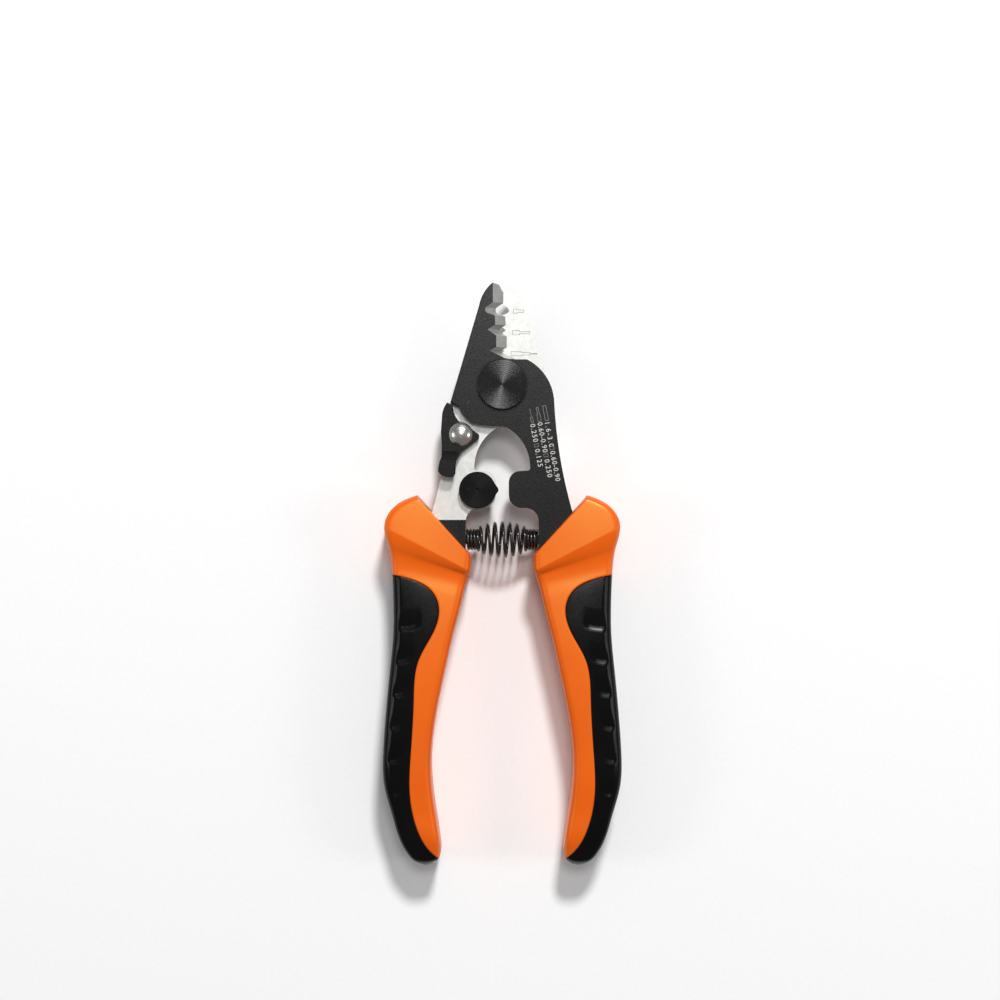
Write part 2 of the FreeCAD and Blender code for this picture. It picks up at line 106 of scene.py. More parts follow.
def new_material(
    name, color, roughness, metallic=0.0, specular=0.5, coat=0.0, anisotropic=0.0, tint=(1.0, 1.0, 1.0)
):
    material = bpy.data.materials.new(name)
    material.use_nodes = True
    shader = material.node_tree.nodes["Principled BSDF"]
    shader.inputs["Base Color"].default_value = (*color, 1.0)
    shader.inputs["Roughness"].default_value = roughness
    shader.inputs["Metallic"].default_value = metallic
    shader.inputs["Specular IOR Level"].default_value = specular
    shader.inputs["Specular Tint"].default_value = (*tint, 1.0)
    shader.inputs["Coat Weight"].default_value = coat
    shader.inputs["Anisotropic"].default_value = anisotropic
    return material, material.node_tree, shader


def add_node(tree, kind, **values):
    node = tree.nodes.new(kind)
    for key, value in values.items():
        setattr(node, key, value)
    return node


def object_coords(tree, location=(0, 0, 0), scale=(1, 1, 1)):
    """Object coordinates in metres, scaled and then moved."""
    coords = add_node(tree, "ShaderNodeTexCoord")
    mapping = add_node(tree, "ShaderNodeMapping")
    mapping.inputs["Scale"].default_value = scale
    mapping.inputs["Location"].default_value = location
    tree.links.new(coords.outputs["Object"], mapping.inputs["Vector"])
    return mapping.outputs["Vector"]


def parts_of(tree, output):
    """X, Y and Z of the object coordinates or of the surface's own normal."""
    coords = add_node(tree, "ShaderNodeTexCoord")
    split = add_node(tree, "ShaderNodeSeparateXYZ")
    tree.links.new(coords.outputs[output], split.inputs["Vector"])
    return split.outputs["X"], split.outputs["Y"], split.outputs["Z"]


def arithmetic(tree, operation, a, b):
    node = add_node(tree, "ShaderNodeMath", operation=operation)
    for socket, value in zip(node.inputs, (a, b)):
        if isinstance(value, (int, float)):
            socket.default_value = value
        else:
            tree.links.new(value, socket)
    return node.outputs["Value"]


def noise(tree, vector, scale, detail=3.0, rough=0.5):
    node = add_node(tree, "ShaderNodeTexNoise")
    node.inputs["Scale"].default_value = scale
    node.inputs["Detail"].default_value = detail
    node.inputs["Roughness"].default_value = rough
    tree.links.new(vector, node.inputs["Vector"])
    return node.outputs["Fac"]


def turning_rings(tree, centre, pitch):
    """Height of concentric turning marks about an upright axis."""
    vector = object_coords(tree, location=(-centre.x, -centre.y, 0.0))
    node = add_node(tree, "ShaderNodeTexWave", wave_type="RINGS", rings_direction="Z")
    node.inputs["Scale"].default_value = math.pi / (10.0 * pitch)
    node.inputs["Distortion"].default_value = 0.35
    node.inputs["Detail"].default_value = 2.0
    node.inputs["Detail Scale"].default_value = 2.0
    tree.links.new(vector, node.inputs["Vector"])
    uneven = ramp(tree, noise(tree, vector, 1500.0, 2.0, 0.6), [(0.3, grey(0.3)), (0.7, grey(1.0))])
    return arithmetic(tree, "MULTIPLY", node.outputs["Fac"], uneven)


def ramp(tree, value, stops):
    """A color ramp, with stops of (place, color)."""
    node = add_node(tree, "ShaderNodeValToRGB")
    elements = node.color_ramp.elements
    while len(elements) < len(stops):
        elements.new(0.5)
    for element, (place, color) in zip(elements, stops):
        element.position = place
        element.color = (*color, 1.0)
    tree.links.new(value, node.inputs["Fac"])
    return node.outputs["Color"]


def grey(value):
    return (value, value, value)


def vary(tree, shader, socket, value, low, high):
    """Drive a socket of the shader by a value, between two pairs of place and color or grey level."""
    stops = [(place, c if isinstance(c, tuple) else grey(c)) for place, c in (low, high)]
    tree.links.new(ramp(tree, value, stops), shader.inputs[socket])


def mixed(tree, share, color_a, color_b):
    """The second color where the share is 1, and the first where it is 0."""
    node = add_node(tree, "ShaderNodeMix", data_type="RGBA")
    tree.links.new(share, node.inputs["Factor"])
    tree.links.new(color_a, node.inputs["A"])
    tree.links.new(color_b, node.inputs["B"])
    return node.outputs["Result"]


def bump(tree, shader, height, strength, distance, below=None):
    node = add_node(tree, "ShaderNodeBump")
    node.inputs["Strength"].default_value = strength
    node.inputs["Distance"].default_value = distance
    tree.links.new(height, node.inputs["Height"])
    if below is not None:
        tree.links.new(below, node.inputs["Normal"])
    tree.links.new(node.outputs["Normal"], shader.inputs["Normal"])
    return node.outputs["Normal"]


def orange_plastic():
    """Satin moulded plastic with a slight mottle and a fine spark-eroded grain."""
    material, tree, shader = new_material(
        "orange_plastic", (0.8, 0.106, 0.003), 0.36, specular=0.75, tint=(0.7, 1.0, 0.3)
    )
    vector = object_coords(tree)
    shade = noise(tree, vector, 70.0, 2.0)
    vary(tree, shader, "Base Color", shade, (0.3, (0.79, 0.1, 0.003)), (0.7, (0.83, 0.112, 0.004)))
    grain = noise(tree, vector, 3500.0, 3.0, 0.6)
    vary(tree, shader, "Roughness", grain, (0.2, 0.3), (0.8, 0.42))
    bump(tree, shader, grain, 0.12, 0.0001)
    return material


def black_rubber():
    """Soft black grip, matt in the scoops, with dust-fine specks."""
    material, tree, shader = new_material("black_rubber", grey(0.004), 0.22, specular=0.15)
    vector = object_coords(tree)
    shade = noise(tree, vector, 90.0, 4.0, 0.6)
    dark, light = (0.0017, 0.0018, 0.002), (0.0036, 0.0038, 0.0043)
    vary(tree, shader, "Base Color", shade, (0.3, dark), (0.78, light))
    grain = noise(tree, vector, 2600.0, 4.0, 0.65)
    vary(tree, shader, "Roughness", grain, (0.25, 0.17), (0.75, 0.26))
    bump(tree, shader, grain, 0.2, 0.00011)
    return material


def black_oxide(tree, vector):
    """Color of blackened steel, with cloudy shade and pale specks of wear."""
    shade = noise(tree, vector, 220.0, 5.0, 0.6)
    color = ramp(tree, shade, [(0.3, (0.003, 0.003, 0.0034)), (0.75, (0.006, 0.0061, 0.0065))])
    specks = noise(tree, vector, 900.0, 1.0, 0.4)
    worn = ramp(tree, specks, [(0.74, grey(0.0)), (0.8, grey(0.5))])
    pale = ramp(tree, shade, [(0.0, grey(0.07)), (1.0, grey(0.1))])
    return mixed(tree, worn, color, pale)


def black_steel():
    """Blackened steel with a fine even grain."""
    material, tree, shader = new_material("black_steel", grey(0.008), 0.42, specular=0.28)
    vector = object_coords(tree)
    tree.links.new(black_oxide(tree, vector), shader.inputs["Base Color"])
    grain = noise(tree, vector, 2200.0, 3.0, 0.6)
    vary(tree, shader, "Roughness", grain, (0.3, 0.23), (0.7, 0.33))
    bump(tree, shader, grain, 0.1, 0.00008)
    return material


def turned_black(name, centre, pitch, depth, gloss, fanned):
    """Blackened steel with turning marks about its own axis, which fan its highlight out."""
    material, tree, shader = new_material(name, grey(0.01), 0.3, specular=gloss, anisotropic=fanned)
    shader.inputs["Anisotropic Rotation"].default_value = 0.25
    vector = object_coords(tree)
    tree.links.new(black_oxide(tree, vector), shader.inputs["Base Color"])
    marks = turning_rings(tree, centre, pitch)
    vary(tree, shader, "Roughness", marks, (0.2, 0.24), (0.8, 0.36))
    fine = bump(tree, shader, noise(tree, vector, 2600.0, 3.0, 0.6), 0.15, 0.00006)
    bump(tree, shader, marks, 0.7, depth, below=fine)
    radial = add_node(tree, "ShaderNodeTangent", direction_type="RADIAL", axis="Z")
    tree.links.new(radial.outputs["Tangent"], shader.inputs["Tangent"])
    return material


def turned_bright(name, centre, pitch, depth):
    """Bright steel with turning marks, a little tarnished."""
    material, tree, shader = new_material(name, (0.8, 0.79, 0.76), 0.26, metallic=1.0)
    vector = object_coords(tree)
    tarnish = noise(tree, vector, 420.0, 3.0, 0.6)
    vary(tree, shader, "Base Color", tarnish, (0.35, (0.83, 0.82, 0.79)), (0.75, (0.5, 0.48, 0.42)))
    marks = turning_rings(tree, centre, pitch)
    vary(tree, shader, "Roughness", marks, (0.2, 0.2), (0.8, 0.36))
    bump(tree, shader, marks, 0.8, depth)
    return material


def spring_wire():
    """Glossy black wire."""
    material, tree, shader = new_material("spring_steel", grey(0.008), 0.2, specular=0.55, coat=0.35)
    vector = object_coords(tree)
    shade = noise(tree, vector, 400.0, 2.0)
    vary(tree, shader, "Base Color", shade, (0.3, 0.006), (0.7, 0.012))
    grain = noise(tree, vector, 1500.0, 2.0)
    vary(tree, shader, "Roughness", grain, (0.3, 0.12), (0.7, 0.22))
    return material


# What tells the bare faces of a jaw: where they are, and the parts of their normals
LAP_FACING = 0.98
LAP_DEPTH = 0.1 * MM
BEVEL_LEAN = 0.05
BEVEL_TILT = (0.2, 0.9)


def jaw_steel(name, lap_side, bevel_side):
    """Blackened steel that is ground bare on the lap face and on the cutting bevels, with painted shade
    darkening the bevels.

    The lap face looks along lap_side in Z, and the bevels lean towards bevel_side in X.
    """
    material, tree, shader = new_material(name, grey(0.008), 0.42, specular=0.34)
    vector = object_coords(tree)
    x, y, z = parts_of(tree, "Object")
    nx, _, nz = parts_of(tree, "Normal")

    def all_of(*masks):
        product = masks[0]
        for mask in masks[1:]:
            product = arithmetic(tree, "MULTIPLY", product, mask)
        return product

    level = arithmetic(tree, "MULTIPLY", arithmetic(tree, "SUBTRACT", z, PIVOT.z), lap_side)
    lap = all_of(
        arithmetic(tree, "GREATER_THAN", y, PIVOT.y - SHOULDER_DROP * MM),
        arithmetic(tree, "GREATER_THAN", arithmetic(tree, "MULTIPLY", nz, lap_side), LAP_FACING),
        arithmetic(tree, "LESS_THAN", level, LAP_DEPTH),
    )
    tilt = arithmetic(tree, "ABSOLUTE", nz, 0.0)
    bevel = all_of(
        arithmetic(tree, "GREATER_THAN", y, PIVOT.y + CHEEK_TOP * MM),
        arithmetic(tree, "GREATER_THAN", arithmetic(tree, "MULTIPLY", nx, bevel_side), BEVEL_LEAN),
        arithmetic(tree, "GREATER_THAN", tilt, BEVEL_TILT[0]),
        arithmetic(tree, "LESS_THAN", tilt, BEVEL_TILT[1]),
    )
    bare = arithmetic(tree, "MAXIMUM", lap, bevel)

    grain = noise(tree, vector, 2300.0, 4.0, 0.65)
    cloud = noise(tree, vector, 700.0, 6.0, 0.7)
    steel = ramp(tree, cloud, [(0.3, (0.62, 0.625, 0.605)), (0.7, (0.76, 0.76, 0.735))])
    # Darker steel colour on the bevel faces: painted shade for faces that lean away from the light
    bevel_painted_shade = ramp(tree, cloud, [(0.3, (0.45, 0.45, 0.44)), (0.7, (0.58, 0.58, 0.57))])
    steel = mixed(tree, bevel, steel, bevel_painted_shade)
    tree.links.new(mixed(tree, bare, black_oxide(tree, vector), steel), shader.inputs["Base Color"])
    tree.links.new(bare, shader.inputs["Metallic"])
    dull = ramp(tree, grain, [(0.3, grey(0.23)), (0.7, grey(0.33))])
    ground = ramp(tree, grain, [(0.3, grey(0.48)), (0.7, grey(0.6))])
    tree.links.new(mixed(tree, bare, dull, ground), shader.inputs["Roughness"])
    bump(tree, shader, grain, 0.2, 0.00008)
    return material


def print_ink(name, color):
    """Matt ink that is a little uneven."""
    material, tree, shader = new_material(name, color, 0.5, specular=0.3)
    shade = noise(tree, object_coords(tree), 2500.0, 2.0)
    thin = tuple(0.8 * c for c in color)
    vary(tree, shader, "Base Color", shade, (0.3, thin), (0.6, color))
    return material


STOP_AXIS = Vector(to_frame((*STOP, 0.0)))
ORANGE = orange_plastic()
RUBBER = black_rubber()
BLACK = black_steel()
SPRING = spring_wire()
BRIGHT = turned_bright("bright_steel", LOCK, 0.00055, 0.000007)
FRONT_STEEL = jaw_steel("front_jaw_steel", -1.0, 1.0)
REAR_STEEL = jaw_steel("rear_jaw_steel", 1.0, -1.0)

# Turned parts: axis, pitch and depth of the marks in metres, gloss, and how far a highlight fans out
TURNED = {
    "post": (PIVOT, 0.00052, 0.00002, 0.5, 0.9),
    "screw": (PIVOT, 0.00045, 0.00002, 0.4, 0.8),
    "stop": (STOP_AXIS, 0.0005, 0.000012, 0.14, 0.3),
}
turned_steel = {name: turned_black(f"turned_{name}", *values) for name, values in TURNED.items()}


def dress(node, material):
    mesh_object = frame["nodes"][node]
    mesh_object.data.materials.clear()
    mesh_object.data.materials.append(material)


for name, material in {
    "front_jaw": FRONT_STEEL,
    "rear_jaw": REAR_STEEL,
    "pivot_post": turned_steel["post"],
    "pivot_washer": BLACK,
    "pivot_screw": turned_steel["screw"],
    "lock_lever": BLACK,
    "lock_washer": BRIGHT,
    "lock_rivet": BRIGHT,
    "stop_disc": turned_steel["stop"],
    "stop_screw": BLACK,
    "return_spring": SPRING,
}.items():
    dress(name, material)


# Meshes


def add_piece(name, mesh, body, material, smooth_angle=35.0):
    """A scene object for a mesh in metres, riding on a body and finished with a material."""
    mesh.materials.clear()
    mesh.materials.append(material)
    mesh.shade_smooth()
    mesh.set_sharp_from_angle(angle=math.radians(smooth_angle))
    piece = bpy.data.objects.new(name, mesh)
    bpy.context.scene.collection.objects.link(piece)
    if body:
        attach(piece, body)
    return piece


def mesh_of(name, points, faces, turned=False):
    """A mesh from points in millimetres about the pivot, turned over about the long axis if asked."""
    points = np.array(points, float)
    if turned:
        points = points * np.array([-1.0, 1.0, -1.0])
    mesh = bpy.data.meshes.new(name)
    mesh.from_pydata(to_frame(points).tolist(), [], faces)
    mesh.validate()
    mesh.update()
    return mesh


def loop_faces(rows, columns):
    """Quads between closed loops, with a flat cap at each end."""
    faces = []
    for r in range(rows - 1):
        a = r * columns
        b = a + columns
        for c in range(columns):
            d = (c + 1) % columns
            faces.append((a + c, a + d, b + d, b + c))
    faces.append(tuple(reversed(range(columns))))
    last = (rows - 1) * columns
    faces.append(tuple(last + c for c in range(columns)))
    return faces


class Curve:
    """A natural cubic through points, read by its own length."""

    def __init__(self, points, fine=40):
        points = np.asarray(points, float)
        steps = np.r_[0, np.cumsum(np.linalg.norm(np.diff(points[:, :2], axis=0), axis=1))]
        n = len(points)
        gaps = np.diff(steps)
        system = np.zeros((n, n))
        right = np.zeros((n, points.shape[1]))
        system[0, 0] = system[-1, -1] = 1.0
        for i in range(1, n - 1):
            system[i, i - 1] = gaps[i - 1]
            system[i, i] = 2 * (gaps[i - 1] + gaps[i])
            system[i, i + 1] = gaps[i]
            rise = (points[i + 1] - points[i]) / gaps[i] - (points[i] - points[i - 1]) / gaps[i - 1]
            right[i] = 6 * rise
        bend = np.linalg.solve(system, right)
        dense_at = []
        dense = []
        for i in range(n - 1):
            t = np.linspace(0, 1, fine, endpoint=False)[:, None]
            h = gaps[i]
            a = (1 - t) * points[i] + t * points[i + 1]
            b = h * h / 6 * (((1 - t) ** 3 - (1 - t)) * bend[i] + (t**3 - t) * bend[i + 1])
            dense.append(a + b)
            dense_at.append(steps[i] + t[:, 0] * h)
        self.points = np.vstack(dense + [points[-1:]])
        self.at = np.r_[np.concatenate(dense_at), steps[-1]]
        self.length = steps[-1]

    def __call__(self, s):
        s = np.asarray(s, float)
        return np.stack([np.interp(s, self.at, column) for column in self.points.T], -1)

    def normal(self, s):
        """Unit vectors square to the curve in plan."""
        e = 0.05
        d = self(np.minimum(s + e, self.length))[..., :2] - self(np.maximum(s - e, 0.0))[..., :2]
        d = d / np.linalg.norm(d, axis=-1, keepdims=True)
        return np.stack([-d[..., 1], d[..., 0]], -1)


class Line(Curve):
    """Straight steps through many points, read by length."""

    def __init__(self, points):
        self.points = np.asarray(points, float)
        self.at = np.r_[0, np.cumsum(np.linalg.norm(np.diff(self.points, axis=0), axis=1))]
        self.length = self.at[-1]


# Stamped plates with broken edges: those between a face and a wall, clear of the lap and outside the
# handles
SAME_POINT = 1e-7
SAME_FACE = math.radians(0.4)
FACE_TILT = 0.99
WALL_TILT = 0.3
LAP_CLEAR = 0.3
TANG_TOP = -SHOULDER_DROP - 12.0
PLATE_SMOOTH = 15.0
JAW_BREAK = 0.2
LEVER_BREAK = 0.25


def bevelled(node, name, body, material, width):
    """The solid of a stamped plate with the edges of its faces broken, in place of the node."""
    shape = bmesh.new()
    shape.from_mesh(frame["nodes"][node].data)
    bmesh.ops.remove_doubles(shape, verts=shape.verts, dist=SAME_POINT)
    bmesh.ops.dissolve_limit(
        shape, angle_limit=SAME_FACE, verts=shape.verts, edges=shape.edges, delimit={"NORMAL"}
    )
    edges = []
    for edge in shape.edges:
        if len(edge.link_faces) != 2 or not edge.is_convex:
            continue
        wall, flat = sorted(abs(face.normal.z) for face in edge.link_faces)
        level = sum(v.co.z for v in edge.verts) / 2 - PIVOT.z
        low = min(v.co.y for v in edge.verts) - PIVOT.y
        between = wall < WALL_TILT and flat > FACE_TILT
        if between and low > TANG_TOP * MM and abs(level) > LAP_CLEAR * MM:
            edges.append(edge)
    bmesh.ops.bevel(
        shape,
        geom=edges,
        offset=width * MM,
        offset_type="OFFSET",
        segments=2,
        profile=0.5,
        affect="EDGES",
        clamp_overlap=True,
    )
    mesh = bpy.data.meshes.new(name)
    shape.to_mesh(mesh)
    shape.free()
    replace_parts(add_piece(name, mesh, body, material, PLATE_SMOOTH), node)


bevelled("front_jaw", "front_jaw_plate", FRONT, FRONT_STEEL, JAW_BREAK)
bevelled("rear_jaw", "rear_jaw_plate", REAR, REAR_STEEL, JAW_BREAK)
bevelled("lock_lever", "lock_lever_plate", LEVER, BLACK, LEVER_BREAK)


# Handle form, for the right handle


def across(share):
    return SPRING_SEAT + share * (GUARD_OUT - SPRING_SEAT)


def below(drop):
    return -SHOULDER_DROP - drop


def down(share):
    waist = SHOULDER_DROP + GUARD_LENGTH
    return -waist - share * (TAIL_REACH - waist)


TAIL = -TAIL_REACH

# Stations down the handle: share across and height of the outer end, then of the inner end, and how
# much thicker than half the nominal thickness it is there
STATIONS = [
    (0.603, below(-6.9), -0.066, below(10.0), -0.8),
    (0.85, below(-4.3), -0.068, below(12.2), 0.0),
    (1.0, below(1.0), -0.055, below(14.8), 0.0),
    (0.943, below(8.4), -0.029, below(16.4), -1.6),
    (0.907, below(15.3), 0.011, below(19.2), -1.5),
    (0.894, below(22.8), 0.073, below(25.0), -0.9),
    (0.894, down(0.114), 0.157, down(0.129), -0.4),
    (0.934, down(0.255), 0.254, down(0.26), -0.12),
    (0.982, down(0.409), 0.355, down(0.409), -0.05),
    (1.018, down(0.563), 0.422, down(0.563), -0.1),
    (1.004, down(0.697), 0.417, down(0.692), -0.35),
    (0.903, down(0.811), 0.369, down(0.804), -0.85),
    (0.806, TAIL + 7.2, 0.316, TAIL + 6.6, -1.45),
    (0.7, TAIL + 2.9, 0.316, TAIL + 3.0, -2.75),
    (0.585, TAIL + 0.6, 0.378, TAIL + 0.9, -4.75),
    (0.532, TAIL, 0.439, TAIL + 0.1, -6.65),
]
SPINE = Curve(
    [
        ((across(a) + across(c)) / 2, (b + d) / 2, across(a), b, across(c), d, HANDLE_HALF + swell)
        for a, b, c, d, swell in STATIONS
    ]
)
OUTER = Curve([(across(a), b) for a, b, c, d, swell in STATIONS])
INNER = Curve([(across(c), d) for a, b, c, d, swell in STATIONS])

# Edge of the soft grip on the front face, from the outer edge round to the inner edge near the tail
SEAM = Curve(
    [
        (across(0.907), below(15.3)),
        (across(0.682), below(16.6)),
        (across(0.408), below(20.2)),
        (across(0.329), down(0.021)),
        (across(0.395), down(0.115)),
        (across(0.576), down(0.22)),
        (across(0.638), down(0.375)),
        (across(0.678), down(0.59)),
        (across(0.691), down(0.697)),
        (across(0.589), down(0.862)),
        (across(0.44), down(0.94)),
        (across(0.338), TAIL + 2.3),
    ]
)

# Ridge and valley across the guard, each a point and a slope, and the entry edge over the tang
RIDGE = (25.4, -44.05, 0.516)
VALLEY = (22.75, -49.05, 0.34)
ENTRY = (15.9, -40.0, 1.08)
ENTRY_SUNK = 0.08
ENTRY_FALL = 0.07
VALLEY_DEEP = 1.6
LEAST_FACET = 1.2  # the steep facet is at least this long
FACET_SHARE = 0.7  # share of the valley's depth that the steep facet falls
FACET_BOW = 2.2
TROUGH_REACH = 0.27  # of the facet's length, over which the trough takes the rest of the fall
TROUGH_RISE = 7.0  # from the valley to where the face is the handle's own again
CROWN = 0.35
CORE_EDGE = 1.9
ENTRY_EDGE = 0.7

# Scoops down the grip, each with a lip on its tail side
LIPS = np.linspace(down(0.0) - 8.6, TAIL + 19.5, 6)
SCOOP_REACH = (7.6, 6.2, 5.8, 5.6, 5.4, 5.1)  # how far in from the outer edge each goes
SCOOP_OUTER = 1.5  # where it starts
SCOOP_LONG = 6.6
SCOOP_DEEP = 0.52
SCOOP_HOLLOW = 1.3  # more than 1 makes its floor hollow
SCOOP_SOFT = 1.8
SCOOP_SWEEP = 1.1  # rise of the lip towards its inner end
SCOOP_SIDE = 1.6

# Chamfered rim of the grip, which is at its full depth above the tail
RIM_WIDE = 2.2
RIM_STEEP = 0.5
RIM_LEAST = 0.35
RIM_TAIL = (TAIL + 6.0, 10.0)
SCOOP_FADE = (0.9, 1.2)  # the scoops start this far out on the rim, and are at full depth after this
GRIP_OUTER_EDGE = 1.2
GRIP_INNER_EDGE = 2.2
GRIP_SUNK = 0.06


def beyond(line, x, y):
    """Distance past a slanted line, towards the tail."""
    px, py, slope = line
    return (py + slope * (x - px) - y) / math.hypot(1.0, slope)


def eased(t):
    t = np.clip(t, 0.0, 1.0)
    return t * t * (3 - 2 * t)


def rounding(distance, radius):
    """Drop of a rounded edge at this distance in from it."""
    t = np.clip(distance / radius, 0.0, 1.0)
    return radius * (1 - np.sqrt(np.clip(1 - (1 - t) ** 2, 0.0, 1.0)))


def locate(x, y):
    """For points in plan, distances in from the outer and the inner edge, and the half thickness."""
    low = np.zeros_like(x)
    high = np.full_like(x, SPINE.length)
    for _ in range(26):
        middle = (low + high) / 2
        row = SPINE(middle)
        ax, ay, bx, by = row[..., 2], row[..., 3], row[..., 4], row[..., 5]
        past = (bx - ax) * (y - ay) - (by - ay) * (x - ax)
        low = np.where(past > 0, middle, low)
        high = np.where(past > 0, high, middle)
    row = SPINE((low + high) / 2)
    a = row[..., 2:4]
    b = row[..., 4:6]
    wide = np.linalg.norm(b - a, axis=-1)
    side = (b - a) / wide[..., None]
    along = np.sum((np.stack([x, y], -1) - a) * side, axis=-1)
    return along, wide - along, row[..., 6]


def face_height(x, y):
    """Height of the front face before its edges are rounded, and distances from the two edges."""
    outer, inner, half = locate(x, y)
    ridge = beyond(RIDGE, x, y)
    valley = beyond(VALLEY, x, y)
    entry = HANDLE_HALF - ENTRY_SUNK + ENTRY_FALL * np.minimum(ridge, 0.0)
    long = np.maximum(ridge - valley, LEAST_FACET)
    share = np.clip(ridge / long, 0.0, 1.0)
    fall = entry - HANDLE_HALF + VALLEY_DEEP
    steep = entry - fall * FACET_SHARE * (share + share**FACET_BOW) / 2
    guard = np.where(ridge < 0, entry, steep)
    left = (1 - FACET_SHARE) * np.exp(-np.maximum(valley, 0.0) / (TROUGH_REACH * long))
    trough = entry - fall * (1 - left)
    ease = eased(valley / TROUGH_RISE)
    main = trough * (1 - ease) + half * ease
    height = np.where(valley < 0, guard, main)
    crown = CROWN * (np.clip(outer, 0, None) - np.clip(inner, 0, None)) ** 2 / (outer + inner) ** 2
    return np.minimum(height - crown, HANDLE_HALF), outer, inner


def scoop_depth(outer, y):
    """Depth of the soft scoops, whose floors slope down to a lip on the tail side."""
    deep = np.zeros_like(outer)
    for lip, reach in zip(LIPS, SCOOP_REACH):
        share = np.clip((outer - SCOOP_OUTER) / (reach - SCOOP_OUTER), 0.0, 1.0)
        rise = y - lip - SCOOP_SWEEP * share**3
        slope = np.clip(1 - rise / SCOOP_LONG, 0.0, 1.0) ** SCOOP_HOLLOW
        side = eased((reach + SCOOP_SIDE / 4 - outer) / SCOOP_SIDE)
        deep = np.maximum(deep, SCOOP_DEEP * slope * side * eased(rise / SCOOP_SOFT))
    return deep


def grip_height(x, y):
    """Front face of the soft grip: scoops, and a chamfered rim along the outer edge."""
    height, outer, inner = face_height(x, y)
    rim = RIM_STEEP * np.clip(RIM_WIDE - outer, 0.0, RIM_WIDE)
    rim = rim * (RIM_LEAST + (1 - RIM_LEAST) * np.clip((y - RIM_TAIL[0]) / RIM_TAIL[1], 0.0, 1.0))
    edges = rounding(outer, GRIP_OUTER_EDGE) + rounding(inner, GRIP_INNER_EDGE)
    scoops = scoop_depth(outer, y) * eased((outer - RIM_WIDE + SCOOP_FADE[0]) / SCOOP_FADE[1])
    return height - rim - edges - GRIP_SUNK - scoops


# Points across a row, those at a seam's lip, and the lip's radius on the core and on the grip
ACROSS = 34
LIP_STEPS = (0.0, 0.05, 0.13, 0.24, 0.4, 0.62)
LIP_SHARE = 0.4  # the most of a row's width that one lip takes
LIP_RADIUS = 0.45
GRIP_LIP_RADIUS = 0.25
GRIP_LIP_FULL = 3.0  # a narrower row has a lower lip
LEAST_HALF = 0.3  # a slab is nowhere thinner than twice this
ROUND_TAIL = 22  # rows round the tail
JOIN_STEP = 0.25


def plan_rows(left, right, left_lip, right_lip):
    """Points in plan for each row from left to right. A lip is unit vectors into the piece, or None."""
    rows = []
    t = 0.5 - 0.5 * np.cos(np.linspace(0, np.pi, ACROSS))
    for i in range(len(left)):
        a, b = left[i], right[i]
        wide = np.linalg.norm(b - a)
        room = min(1.0, LIP_SHARE * wide / LIP_STEPS[-1])
        start = [a + left_lip[i] * s * room for s in LIP_STEPS] if left_lip is not None else [a]
        end = [b + right_lip[i] * s * room for s in LIP_STEPS] if right_lip is not None else [b]
        middle = start[-1] + (end[-1] - start[-1]) * t[1:-1, None]
        rows.append(np.vstack([start, middle, end[::-1]]))
    rows = np.array(rows)
    rows[..., 1] = np.maximum(rows[..., 1], TAIL + 0.03)
    return rows


def slab(plan, z, side_steps=7):
    """Closed mesh of a slab with the same face on its front and its back."""
    u = np.linspace(1, -1, side_steps + 2)[1:-1]
    loops = []
    for row, level in zip(plan, np.maximum(z, LEAST_HALF)):
        top = np.c_[row, level]
        bottom = np.c_[row[::-1], -level[::-1]]
        right = np.array([(row[-1, 0], row[-1, 1], level[-1] * k) for k in u])
        left = np.array([(row[0, 0], row[0, 1], -level[0] * k) for k in u])
        loops.append(np.vstack([top, right, bottom, left]))
    loops = np.array(loops)
    rows, columns = loops.shape[:2]
    return loops.reshape(-1, 3), loop_faces(rows, columns)


def matched(pairs, rows_per_mm=4.0):
    """Distances along two curves, row by row, through matched pairs."""
    pairs = np.array(pairs, float)
    s = [pairs[0]]
    for p, q in zip(pairs, pairs[1:]):
        count = max(2, int(max(abs(q - p)) * rows_per_mm))
        for k in range(1, count + 1):
            s.append(p + (q - p) * k / count)
    return np.array(s)


def at_height(curve, y):
    """Distance along a curve at which it first comes down to a height."""
    s = np.linspace(0.0, curve.length, 4000)
    heights = curve(s)[:, 1]
    return float(s[np.argmax(heights <= y)]) if (heights <= y).any() else float(curve.length)


def joined(first, first_to, second):
    """One curve that follows the start of one curve and then the whole of another."""
    a = first(np.arange(0.0, first_to, JOIN_STEP))
    b = second(np.arange(0.0, second.length, JOIN_STEP))
    return Line(np.vstack([a, b, second(second.length)[None]]))


def into(curve, s, towards):
    """Unit vectors square to a curve, on the side of these other points."""
    normal = curve.normal(s)
    here = curve(s)
    same = np.sum(normal * (towards - here), axis=1) > 0
    return np.where(same[:, None], normal, -normal)


